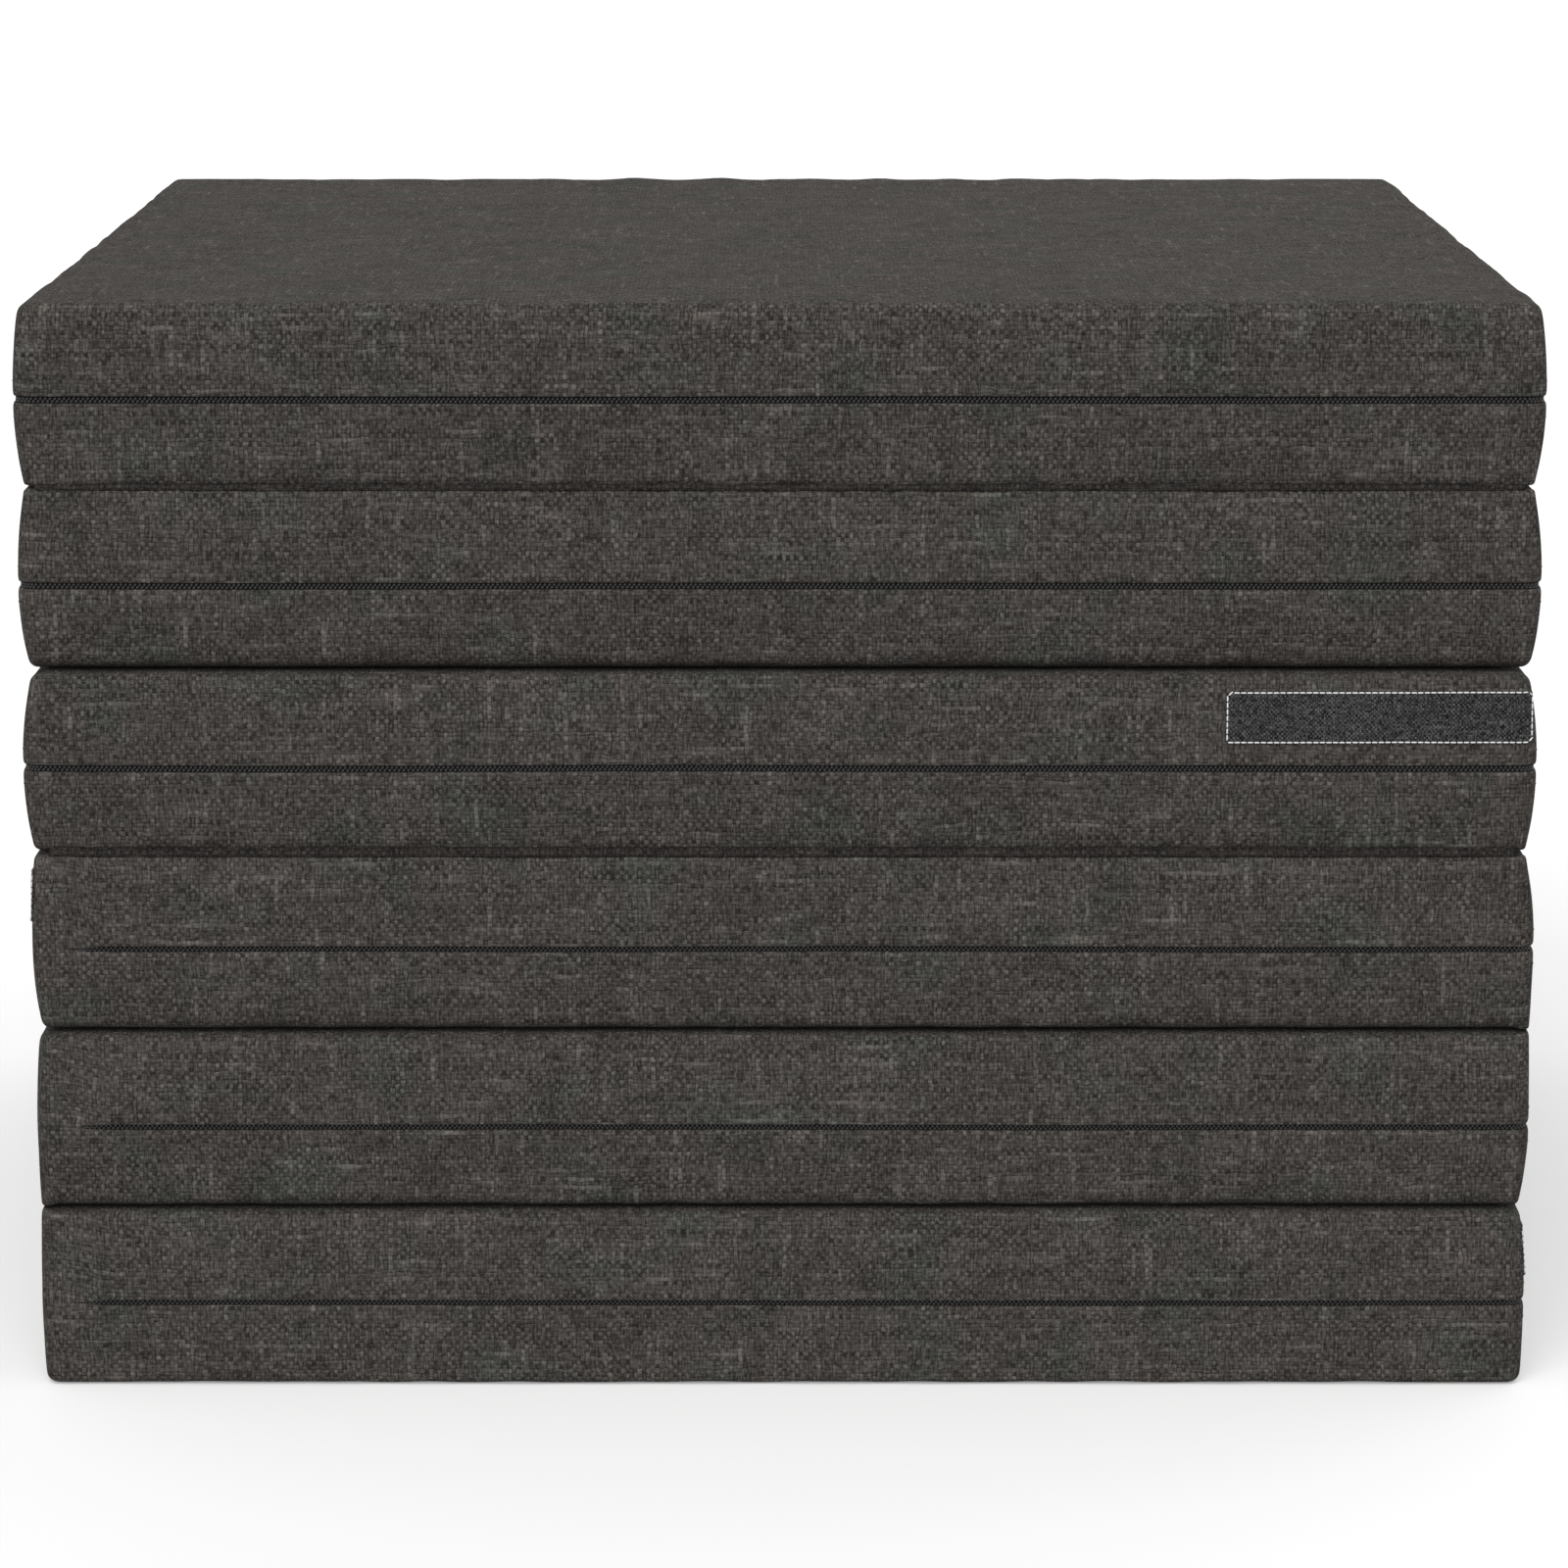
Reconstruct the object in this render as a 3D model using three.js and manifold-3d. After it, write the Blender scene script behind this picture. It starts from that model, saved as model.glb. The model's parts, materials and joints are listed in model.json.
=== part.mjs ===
// Folding futon mattress: six foam panels in zipped covers, stacked closed, +Z up, millimetres.
// Front is -Y. panel_1 lies on the floor and panel_6 is on top. Each panel hinges on the next.
import * as THREE from "three";
import { mergeVertices } from "three/addons/utils/BufferGeometryUtils.js";
import Module from "manifold-3d";

const wasm = await Module();
wasm.setup();

// Driving dimensions
const WIDTH = 650; // X, between the fold axes
const DEPTH = 600; // Y, between the fold axes
const PANELS = 6;
const PANEL_T = 78; // thickness of one panel
const GAP = 1.2; // between stacked panels, holds the fold seam
const PITCH = PANEL_T + GAP;
// Side faces stand this far inside the fold axes, so that labels and sliders clear a folded-out panel
const SET_IN = { left: 0.4, right: 0.8, front: 0.8, back: 2.0 };
const CORNER_R = 8; // plan radius of a panel
const EDGE_R = 6; // rounding of the top and bottom edges
const EDGE_STEPS = 2;
const CORNER_STEPS = 3;
const ZIP_Z = 37; // zip line above a panel's underside
const ZIP_OPEN = 3.6; // height of the slot between the two cover halves
const SEAM_OPEN = 0.4; // between the halves where no zip runs
const COVER_T = 1.4;
const TAPE = { outer: 1.7, inner: 2.4, height: 24 };
const COIL = { outer: 0.4, inner: 1.5, height: 2.8 };
const CORE_IN = 2.8; // foam inside the cover's outer faces
const SLIDER = { long: 11, high: 7.6, proud: 0.3, thick: 1.0 };
const LUG = { long: 1.6, wide: 1.0, at: 2.9, reach: 2.9 };
const PIN = { r: 0.35, proud: 2.3 };
const PULL = { eye: 0.95, hole: 0.6, neck: 3.6, thick: 0.8, wide: 5.4, long: 19 };
const PARKED = 26; // slider's distance from the closed end of its zip
const ZIP_START = 20; // from the left corner to the zip's end on the lower panels' front
const LABEL = { long: 131, high: 22.4, thick: 0.5, proud: 0.25 };
const STITCH = { inset: 2.2, wide: 0.7, thick: 0.2, proud: 0.78 };
const SEAM_R = 1.1; // rolled fold seam, on the fold axis
const SEAM_FLAP = { long: 14, thick: 0.5 };

const COLOURS = {
  foam: 0xe9dfc0,
  cover: 0x4a4644,
  tape: 0x2a2a2a,
  coil: 0x242424,
  metal: 0x3a3a3c,
  label: 0x3c3c3c,
  thread: 0xe8e8e8,
};
const SHINY = { metal: 0.8 };

const LEFT = -WIDTH / 2 + SET_IN.left;
const RIGHT = WIDTH / 2 - SET_IN.right;
const FRONT = -DEPTH / 2 + SET_IN.front;
const BACK = DEPTH / 2 - SET_IN.back;

const part = new THREE.Group();
part.name = "futon_mattress";

function material(kind) {
  return new THREE.MeshStandardMaterial({
    color: COLOURS[kind],
    roughness: kind === "metal" ? 0.4 : 0.9,
    metalness: SHINY[kind] ?? 0,
  });
}

function add(name, geometry, kind) {
  const mesh = new THREE.Mesh(geometry, material(kind));
  mesh.name = name;
  part.add(mesh);
}

// A closed body through rings that have the same number of points. Each end is capped.
function loft(rings) {
  const count = rings[0].length;
  const flat = rings.flat();
  const index = [];
  for (let r = 0; r + 1 < rings.length; r += 1) {
    for (let i = 0; i < count; i += 1) {
      const a = r * count + i;
      const b = r * count + ((i + 1) % count);
      index.push(a, b, b + count, a, b + count, a + count);
    }
  }
  const last = (rings.length - 1) * count;
  for (let i = 1; i + 1 < count; i += 1) {
    index.push(0, i + 1, i);
    index.push(last, last + i, last + i + 1);
  }
  const geometry = new THREE.BufferGeometry();
  geometry.setAttribute("position", new THREE.Float32BufferAttribute(flat.flat(), 3));
  geometry.setIndex(index);
  return geometry;
}

// Plan outline of a panel, counter-clockwise from the front left corner, with outward directions.
function outline(inset) {
  const corners = [
    [LEFT + CORNER_R, FRONT + CORNER_R, 180],
    [RIGHT - CORNER_R, FRONT + CORNER_R, 270],
    [RIGHT - CORNER_R, BACK - CORNER_R, 0],
    [LEFT + CORNER_R, BACK - CORNER_R, 90],
  ];
  const points = [];
  for (const [cx, cy, start] of corners) {
    for (let i = 0; i <= CORNER_STEPS; i += 1) {
      const angle = THREE.MathUtils.degToRad(start + (90 * i) / CORNER_STEPS);
      const out = [Math.cos(angle), Math.sin(angle)];
      points.push({ at: [cx + out[0] * (CORNER_R - inset), cy + out[1] * (CORNER_R - inset)], out });
    }
  }
  return points;
}

function ring(inset, z) {
  return outline(inset).map(({ at }) => [at[0], at[1], z]);
}

// [inset, height above the outer face] down a rounded edge, ending on the side wall
function edgeSteps(radius, from) {
  const steps = [];
  for (let i = 0; i <= EDGE_STEPS; i += 1) {
    const angle = (Math.PI / 2) * (i / EDGE_STEPS);
    steps.push([from + radius * (1 - Math.sin(angle)), from + radius * (1 - Math.cos(angle))]);
  }
  return steps;
}

// Half of a cover: a skin on the panel's face and its side wall up to rim. up is 1 or -1.
function coverHalf(face, rim, up) {
  const outer = edgeSteps(EDGE_R, 0).map(([inset, rise]) => ring(inset, face + up * rise));
  const inner = edgeSteps(EDGE_R - COVER_T, COVER_T).map(([inset, rise]) => ring(inset, face + up * rise));
  const rings = [...outer, ring(0, rim), ring(COVER_T, rim), ...inner.reverse()];
  return loft(up > 0 ? rings : rings.reverse());
}

function core(base) {
  const low = edgeSteps(EDGE_R - CORE_IN, CORE_IN).map(([inset, rise]) => ring(inset, base + rise));
  const high = edgeSteps(EDGE_R - CORE_IN, CORE_IN).map(([inset, rise]) => ring(inset, base + PANEL_T - rise));
  return loft([...low, ...high.reverse()]);
}

// Stations around the outline for a zip that starts and ends on straight sides.
function zipPath(start, end, corners) {
  const all = outline(0);
  const per = CORNER_STEPS + 1;
  const turned = corners.flatMap((c) => all.slice(c * per, c * per + per));
  return [start, ...turned, end];
}

function band(path, { outer, inner, height }, z) {
  const rings = path.map(({ at, out }) => {
    const place = (inset, dz) => [at[0] - out[0] * inset, at[1] - out[1] * inset, z + dz];
    const half = height / 2;
    return [place(outer, -half), place(inner, -half), place(inner, half), place(outer, half)];
  });
  return loft(rings);
}

function solid(geometry) {
  const plain = geometry.clone();
  plain.deleteAttribute("normal");
  plain.deleteAttribute("uv");
  const merged = mergeVertices(plain, 1e-4);
  return new wasm.Manifold(
    new wasm.Mesh({
      numProp: 3,
      vertProperties: new Float32Array(merged.attributes.position.array),
      triVerts: new Uint32Array(merged.index.array),
    }),
  );
}

function geometryOf(manifold) {
  const { vertProperties, triVerts } = manifold.getMesh();
  const geometry = new THREE.BufferGeometry();
  geometry.setAttribute("position", new THREE.BufferAttribute(new Float32Array(vertProperties), 3));
  geometry.setIndex(new THREE.BufferAttribute(new Uint32Array(triVerts), 1));
  return geometry;
}

function block(x, y, z) {
  return solid(new THREE.BoxGeometry(x[1] - x[0], y[1] - y[0], z[1] - z[0])).translate([
    (x[0] + x[1]) / 2,
    (y[0] + y[1]) / 2,
    (z[0] + z[1]) / 2,
  ]);
}

function rod(radius, length, segments = 12) {
  return solid(new THREE.CylinderGeometry(radius, radius, length, segments).rotateX(Math.PI / 2));
}

// Slider and pull in their own frame: x runs along the zip, y stands out of the face, z is up.
function sliderSolid() {
  const { long, high, proud, thick } = SLIDER;
  let made = block([-long / 2, long / 2], [proud, proud + thick], [-high / 2, high / 2]);
  for (const side of [-1, 1]) {
    const z = [side * LUG.at - LUG.wide / 2, side * LUG.at + LUG.wide / 2];
    made = made.add(block([-LUG.long / 2, LUG.long / 2], [proud + thick - 0.1, LUG.reach], z));
  }
  return made.add(rod(PIN.r, 2 * LUG.at).translate([0, PIN.proud, 0]));
}

function pullSolid() {
  const half = PULL.thick / 2;
  const y = [PIN.proud - half, PIN.proud + half];
  const eyeWide = 2 * (LUG.at - LUG.wide / 2) - 0.8;
  let made = rod(PULL.eye, eyeWide).translate([0, PIN.proud, 0]);
  made = made.add(block([0.2, PULL.neck], y, [-eyeWide / 2, eyeWide / 2]));
  made = made.add(block([PULL.neck - 0.6, PULL.long], y, [-PULL.wide / 2, PULL.wide / 2]));
  return made.subtract(rod(PULL.hole, 20).translate([0, PIN.proud, 0]));
}

// A turned and moved copy, so that local y points out of the face that has this outward angle.
function onFace(manifold, outwardDegrees, [x, y, z]) {
  return geometryOf(manifold.rotate([0, 0, outwardDegrees - 90]).translate([x, y, z]));
}

function label(outwardDegrees, [x, y, z], length) {
  const made = block(
    [-length / 2, length / 2],
    [LABEL.proud, LABEL.proud + LABEL.thick],
    [-LABEL.high / 2, LABEL.high / 2],
  );
  return onFace(made, outwardDegrees, [x, y, z]);
}

function stitches(outwardDegrees, [x, y, z], length) {
  const box = (inset, low, high) =>
    block(
      [-length / 2 + inset, length / 2 - inset],
      [low, high],
      [-LABEL.high / 2 + inset, LABEL.high / 2 - inset],
    );
  const { inset, wide, thick, proud } = STITCH;
  const made = box(inset, proud, proud + thick).subtract(box(inset + wide, proud - 1, proud + 1));
  return onFace(made, outwardDegrees, [x, y, z]);
}

// Upper panels: zip on the left, front and right. Lower panels: front, right and back.
const UPPER = {
  path: zipPath(
    { at: [LEFT, BACK - CORNER_R - 4], out: [-1, 0] },
    { at: [RIGHT, BACK - CORNER_R - 4], out: [1, 0] },
    [0, 1],
  ),
  slider: { out: 180, at: [LEFT, BACK - CORNER_R - PARKED] },
};
const LOWER = {
  path: zipPath(
    { at: [LEFT + ZIP_START, FRONT], out: [0, -1] },
    { at: [LEFT + CORNER_R + 4, BACK], out: [0, 1] },
    [1, 2],
  ),
  slider: { out: 90, at: [LEFT + CORNER_R + PARKED, BACK] },
};

function panel(number) {
  const base = (number - 1) * PITCH;
  const zipZ = base + ZIP_Z;
  const zip = number > PANELS / 2 ? UPPER : LOWER;
  const name = (piece) => `panel_${number}_${piece}`;
  add(name("foam_core"), core(base), "foam");
  add(name("cover_lower"), coverHalf(base, zipZ - ZIP_OPEN / 2, 1), "cover");
  add(name("cover_upper"), coverHalf(base + PANEL_T, zipZ + ZIP_OPEN / 2, -1), "cover");
  add(name("zip_tape"), band(zip.path, TAPE, zipZ), "tape");
  add(name("zip_coil"), band(zip.path, COIL, zipZ), "coil");
  const seat = [...zip.slider.at, zipZ];
  add(name("zip_slider"), onFace(sliderSolid(), zip.slider.out, seat), "metal");
  add(name("zip_pull"), onFace(pullSolid(), zip.slider.out, seat), "metal");
}

// A rolled seam on the fold axis, with a flap between the two panels. side points to the fold.
function foldSeam(side) {
  const angle = Math.asin(SEAM_FLAP.thick / 2 / SEAM_R);
  const shape = new THREE.Shape();
  shape.moveTo(-SEAM_FLAP.long, -SEAM_FLAP.thick / 2);
  for (let i = 0; i <= 8; i += 1) {
    const turn = -Math.PI + angle + (2 * (Math.PI - angle) * i) / 8;
    shape.lineTo(SEAM_R * Math.cos(turn), SEAM_R * Math.sin(turn));
  }
  shape.lineTo(-SEAM_FLAP.long, SEAM_FLAP.thick / 2);
  shape.closePath();
  const length = (side[0] === 0 ? WIDTH : DEPTH) - 2 * (CORNER_R + 4);
  const geometry = new THREE.ExtrudeGeometry(shape, { depth: length, bevelEnabled: false });
  geometry.translate(0, 0, -length / 2).rotateX(Math.PI / 2);
  geometry.rotateZ(Math.atan2(side[1], side[0]));
  return geometryOf(solid(geometry));
}

const FOLDS = [
  { lower: 1, side: [-1, 0] },
  { lower: 2, side: [1, 0] },
  { lower: 3, side: [0, -1] },
  { lower: 4, side: [0, 1] },
  { lower: 5, side: [0, -1] },
];

for (let number = 1; number <= PANELS; number += 1) {
  panel(number);
}

for (const { lower, side } of FOLDS) {
  const seam = foldSeam(side);
  seam.translate((side[0] * WIDTH) / 2, (side[1] * DEPTH) / 2, lower * PITCH - GAP / 2);
  add(`fold_seam_${lower}_${lower + 1}`, seam, "cover");
}

// Blank labels with a frame of stitching: front right of panel 4, left of panel 3, right of panel 1.
const LABEL_RISE = 59.5; // label's middle above the panel's underside
const LABEL_END = 4; // from the panel's corner
const LABELS = [
  { panel: 4, out: 270, at: [RIGHT - LABEL_END - LABEL.long / 2, FRONT], length: LABEL.long },
  { panel: 3, out: 180, at: [LEFT, FRONT + LABEL_END + LABEL.long / 2], length: LABEL.long },
  { panel: 1, out: 0, at: [RIGHT, FRONT + LABEL_END + LABEL.long / 2], length: LABEL.long },
];
for (const { panel: number, out, at, length } of LABELS) {
  const seat = [...at, (number - 1) * PITCH + LABEL_RISE];
  add(`panel_${number}_label`, label(out, seat, length), "label");
  add(`panel_${number}_label_stitches`, stitches(out, seat, length), "thread");
}

export default part;
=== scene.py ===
"""Looks for a folding futon mattress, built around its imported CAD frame."""
import json
import math

import bmesh
import bpy
import numpy as np
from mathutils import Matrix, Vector, noise
from mathutils.bvhtree import BVHTree


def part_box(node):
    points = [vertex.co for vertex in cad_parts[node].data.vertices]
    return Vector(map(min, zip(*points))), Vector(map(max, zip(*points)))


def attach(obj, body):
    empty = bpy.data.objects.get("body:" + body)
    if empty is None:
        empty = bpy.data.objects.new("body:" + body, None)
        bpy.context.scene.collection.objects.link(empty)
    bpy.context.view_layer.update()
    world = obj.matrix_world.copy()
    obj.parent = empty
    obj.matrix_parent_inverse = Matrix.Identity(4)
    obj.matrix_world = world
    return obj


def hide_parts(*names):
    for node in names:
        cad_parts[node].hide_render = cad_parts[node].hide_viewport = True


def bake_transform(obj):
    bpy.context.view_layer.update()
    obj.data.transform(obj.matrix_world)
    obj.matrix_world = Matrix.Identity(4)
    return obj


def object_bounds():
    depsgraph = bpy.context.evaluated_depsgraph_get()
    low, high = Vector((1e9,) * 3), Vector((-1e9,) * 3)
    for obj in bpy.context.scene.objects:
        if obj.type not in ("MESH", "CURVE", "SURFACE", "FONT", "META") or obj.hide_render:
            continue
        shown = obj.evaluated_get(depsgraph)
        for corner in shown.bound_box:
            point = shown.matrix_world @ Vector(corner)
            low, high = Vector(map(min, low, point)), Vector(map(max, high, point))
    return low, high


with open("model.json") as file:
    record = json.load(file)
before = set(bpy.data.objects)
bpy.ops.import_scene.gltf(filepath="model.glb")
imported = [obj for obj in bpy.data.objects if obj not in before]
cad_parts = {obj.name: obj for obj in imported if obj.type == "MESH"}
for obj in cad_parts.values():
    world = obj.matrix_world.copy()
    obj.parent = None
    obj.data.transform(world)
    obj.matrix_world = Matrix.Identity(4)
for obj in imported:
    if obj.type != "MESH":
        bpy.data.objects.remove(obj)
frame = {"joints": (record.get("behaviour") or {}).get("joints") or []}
CAD_LOW, CAD_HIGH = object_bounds()
MM = 0.001
PANELS = (1, 2, 3, 4, 5, 6)
FIRST_UPPER = 4           # panels from here up have their zip round the front and both sides
SIDES = ("left", "right", "front", "back")
OUTWARD = {
    "left": (-1.0, 0.0, 0.0),
    "right": (1.0, 0.0, 0.0),
    "front": (0.0, -1.0, 0.0),
    "back": (0.0, 1.0, 0.0),
}
# where panel n is sewn to panel n + 1
FOLD_SIDE = {1: "left", 2: "right", 3: "front", 4: "back", 5: "front"}
UP = np.array([0.0, 0.0, 1.0])

# covers
CORNER = 8 * MM           # plan radius of a panel's upright corners
GRID_STEP = 10 * MM
DRIFT = 0.9 * MM          # the upper panels sit this far to the left, and the lower ones start this far right
CAP_FADE = 70 * MM        # how far in from an edge a large face's grid gives way to it
RIM_ANGLES = (30, 60, 90)
WALL_STEPS = (0.12, 0.24, 0.38, 0.54, 0.7, 0.86, 1.0)
LIP_ROWS = range(11, 15)  # the wall's rows that make the edges and the bottom of the zip's slot
LIP_CREASE = 0.75

# zips and stitching
ZIP_HALF_UPPER, ZIP_HALF_LOWER = 1.55 * MM, 1.3 * MM   # half the height of the slot that shows the zip
ZIP_DEEP = 2.3 * MM
ZIP_WANDER = 0.45 * MM
SLOT_CLOSED = 0.25 * MM   # half the height of the slot's rows where there is no slot
LIP_INSET, LIP_MARGIN = 0.35 * MM, 1.3 * MM
UPPER_ZIP_END, UPPER_ZIP_FADE = 24 * MM, 12 * MM       # from the back, on both sides
LOWER_ZIP_START, LOWER_ZIP_FADE = 22 * MM, 6 * MM      # from the left, at the front and the back
TOOTH_PITCH, TOOTH_LEAN = 2.0 * MM, 0.5
STITCH_OFF = 7.6 * MM     # topstitching above and below the zip's middle
STITCH_PITCH = 3.6 * MM
STITCH_SIZE = (2.7 * MM, 0.42 * MM, 0.34 * MM)
LABEL_STITCH_PITCH = 2.8 * MM
LABEL_STITCH_SIZE = (2.4 * MM, 0.7 * MM, 0.45 * MM)

# cloth simulation
FOAM_HOLD = 0.35          # how firmly the foam holds the cover's large faces
LIP_HOLD = 0.8            # and the zip its lips
PRESSURE = 3.0
SIM_FRAMES = 5
WRINKLE = 1.1 * MM        # the most that a wall's unevenness may add
CROWN = 3.0 * MM          # how far the top face may rise
STACKED_CROWN = 0.1 * MM  # and a face with a panel on it

# How far a panel's edge is pulled in, how round it is and how far it lifts off its neighbour, in mm,
# each as left, right, front, back. TOP_EDGE[n] is panel n's upper edge and BOTTOM_EDGE[n] its lower one.
# A folded side is tight.
TOP_EDGE = {
    1: ((0.8, 2.4, 1.6, 1.6), (1.6, 3.0, 3.4, 3.4), (0.0, 0.3, 0.6, 0.3)),
    2: ((1.8, 0.8, 1.6, 1.6), (3.6, 1.4, 3.4, 3.4), (0.3, 0.0, 0.6, 0.3)),
    3: ((1.8, 4.8, 1.4, 2.2), (2.8, 2.2, 2.2, 3.6), (0.3, 0.3, 0.2, 0.3)),
    4: ((4.0, 3.6, 1.8, 0.9), (4.8, 5.4, 3.6, 1.4), (0.5, 0.5, 0.6, 0.0)),
    5: ((3.8, 4.4, 1.3, 2.6), (1.4, 1.6, 2.0, 3.4), (0.2, 0.2, 0.1, 0.3)),
    6: ((2.8, 2.8, 1.2, 1.8), (5.6, 5.6, 6.4, 6.0), (0.0, 0.0, 0.0, 0.0)),
}
BOTTOM_EDGE = {
    1: ((0.9, 1.0, 0.9, 0.9), (4.4, 4.4, 4.0, 4.0), (0.0, 0.0, 0.0, 0.0)),
    2: ((0.8, 3.2, 2.3, 1.8), (1.6, 3.2, 5.8, 4.0), (0.0, 0.3, 1.0, 0.3)),
    3: ((2.8, 0.8, 2.3, 1.8), (4.8, 1.4, 5.8, 4.0), (0.3, 0.0, 1.0, 0.3)),
    4: ((3.4, 3.8, 2.5, 2.2), (3.4, 1.8, 4.4, 3.6), (0.2, 0.2, 0.4, 0.3)),
    5: ((3.4, 3.0, 3.0, 0.9), (4.6, 5.4, 7.0, 1.4), (0.5, 0.5, 1.1, 0.0)),
    6: ((3.8, 4.4, 1.9, 2.6), (1.4, 1.6, 3.2, 3.4), (0.2, 0.2, 0.2, 0.3)),
}


# ---------------------------------------------------------------- camera, light and floor
LENS, PITCH_DOWN = 124.4, 11.45
CAMERA_AWAY, CAMERA_HIGH, CAMERA_RIGHT = 2.268, 0.728, 0.0007
SKY_LIGHT, GROUND_LIGHT = 0.53, 0.29
HORIZON_SOFTNESS = 0.1
SUN_SPREAD = 60
SUNS = {"broad_light": (1.87, (0.2, 1.0, -0.7)), "back_fill": (0.6, (-0.7, -1.0, -0.2))}   # energy, direction
FLOOR_REACH, FLOOR_WHITE, FLOOR_GLOW = 40, 0.97, 0.22


def camera():
    data = bpy.data.cameras.new("camera")
    data.lens = LENS
    data.sensor_width = 36
    data.clip_start, data.clip_end = 0.05, 100
    made = bpy.data.objects.new("camera", data)
    made.location = (CAMERA_RIGHT, CAD_LOW.y - CAMERA_AWAY, CAMERA_HIGH)
    made.rotation_euler = (math.radians(90 - PITCH_DOWN), 0, 0)
    bpy.context.collection.objects.link(made)
    bpy.context.scene.camera = made


def sky():
    """A world that shows white and lights the scene evenly, less from below than from above."""
    world = bpy.data.worlds.new("studio")
    world.use_nodes = True
    tree = world.node_tree
    direction = tree.nodes.new("ShaderNodeSeparateXYZ")
    tree.links.new(tree.nodes.new("ShaderNodeTexCoord").outputs["Generated"], direction.inputs[0])
    light = tree.nodes.new("ShaderNodeMapRange")
    light.inputs["From Min"].default_value = -HORIZON_SOFTNESS
    light.inputs["From Max"].default_value = HORIZON_SOFTNESS
    light.inputs["To Min"].default_value = GROUND_LIGHT
    light.inputs["To Max"].default_value = SKY_LIGHT
    tree.links.new(direction.outputs[2], light.inputs["Value"])
    seen = tree.nodes.new("ShaderNodeMix")
    seen.inputs["B"].default_value = 1.0
    tree.links.new(tree.nodes.new("ShaderNodeLightPath").outputs["Is Camera Ray"], seen.inputs["Factor"])
    tree.links.new(light.outputs[0], seen.inputs["A"])
    background = tree.nodes["Background"]
    background.inputs["Color"].default_value = (1, 1, 1, 1)
    tree.links.new(seen.outputs["Result"], background.inputs["Strength"])
    bpy.context.scene.world = world
    bpy.context.scene.view_settings.view_transform = "Standard"


def suns():
    for name, (energy, direction) in SUNS.items():
        data = bpy.data.lights.new(name, "SUN")
        data.energy = energy
        data.angle = math.radians(SUN_SPREAD)
        sun = bpy.data.objects.new(name, data)
        sun.rotation_euler = Vector(direction).to_track_quat("-Z", "Y").to_euler()
        bpy.context.collection.objects.link(sun)


def white_floor():
    r = FLOOR_REACH
    mesh = bpy.data.meshes.new("floor")
    mesh.from_pydata([(-r, -r, 0), (r, -r, 0), (r, r, 0), (-r, r, 0)], [], [(0, 1, 2, 3)])
    floor = bpy.data.objects.new("floor", mesh)
    floor.location.z = -0.5 * MM
    floor.visible_diffuse = False
    bpy.context.collection.objects.link(floor)
    material = bpy.data.materials.new("floor_white")
    material.use_nodes = True
    shader = material.node_tree.nodes["Principled BSDF"]
    shader.inputs["Base Color"].default_value = (FLOOR_WHITE, FLOOR_WHITE, FLOOR_WHITE, 1)
    shader.inputs["Roughness"].default_value = 0.9
    shader.inputs["Specular IOR Level"].default_value = 0.0
    shader.inputs["Emission Color"].default_value = (1, 1, 1, 1)
    shader.inputs["Emission Strength"].default_value = FLOOR_GLOW
    mesh.materials.append(material)


# ---------------------------------------------------------------- node helpers
class Nodes:
    """A material's node tree, with short ways to add and join nodes."""

    def __init__(self, name):
        self.material = bpy.data.materials.new(name)
        self.material.use_nodes = True
        self.tree = self.material.node_tree
        self.shader = self.tree.nodes["Principled BSDF"]

    def link(self, value, socket):
        if isinstance(value, bpy.types.NodeSocket):
            self.tree.links.new(value, socket)
        else:
            socket.default_value = value

    def add(self, kind, inputs=(), **settings):
        node = self.tree.nodes.new(kind)
        for key, value in settings.items():
            setattr(node, key, value)
        for key, value in dict(inputs).items():
            self.link(value, node.inputs[key])
        return node

    def math(self, operation, a, b=0.0, clamp=False):
        return self.add("ShaderNodeMath", {0: a, 1: b}, operation=operation, use_clamp=clamp).outputs[0]

    def plus(self, a, b, clamp=False):
        return self.math("ADD", a, b, clamp)

    def minus(self, a, b):
        return self.math("SUBTRACT", a, b)

    def times(self, a, b):
        return self.math("MULTIPLY", a, b)

    def power(self, a, b):
        return self.math("POWER", a, b)

    def centred(self, value):
        return self.minus(value, 0.5)

    def noise(self, vector, scale=1.0, detail=2.0, rough=0.5):
        inputs = {"Vector": vector, "Scale": scale, "Detail": detail, "Roughness": rough}
        return self.add("ShaderNodeTexNoise", inputs).outputs[0]

    def scaled(self, vector, factors):
        return self.add("ShaderNodeVectorMath", {0: vector, 1: factors}, operation="MULTIPLY").outputs[0]

    def ramp(self, value, low, high, to_low=0.0, to_high=1.0):
        inputs = {"Value": value, "From Min": low, "From Max": high, "To Min": to_low, "To Max": to_high}
        return self.add("ShaderNodeMapRange", inputs).outputs[0]

    def mix(self, factor, a, b, blend="MIX"):
        node = self.add("ShaderNodeMix", data_type="RGBA", blend_type=blend)
        self.link(factor, node.inputs["Factor"])
        self.link(a, node.inputs["A"])
        self.link(b, node.inputs["B"])
        return node.outputs["Result"]

    def split(self, vector):
        node = self.add("ShaderNodeSeparateXYZ", {0: vector})
        return node.outputs[0], node.outputs[1]

    def join(self, x, y, z=0.0):
        return self.add("ShaderNodeCombineXYZ", {0: x, 1: y, 2: z}).outputs[0]

    def bump(self, height, strength, distance):
        inputs = {"Height": height, "Strength": strength, "Distance": distance}
        return self.add("ShaderNodeBump", inputs).outputs[0]


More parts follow.
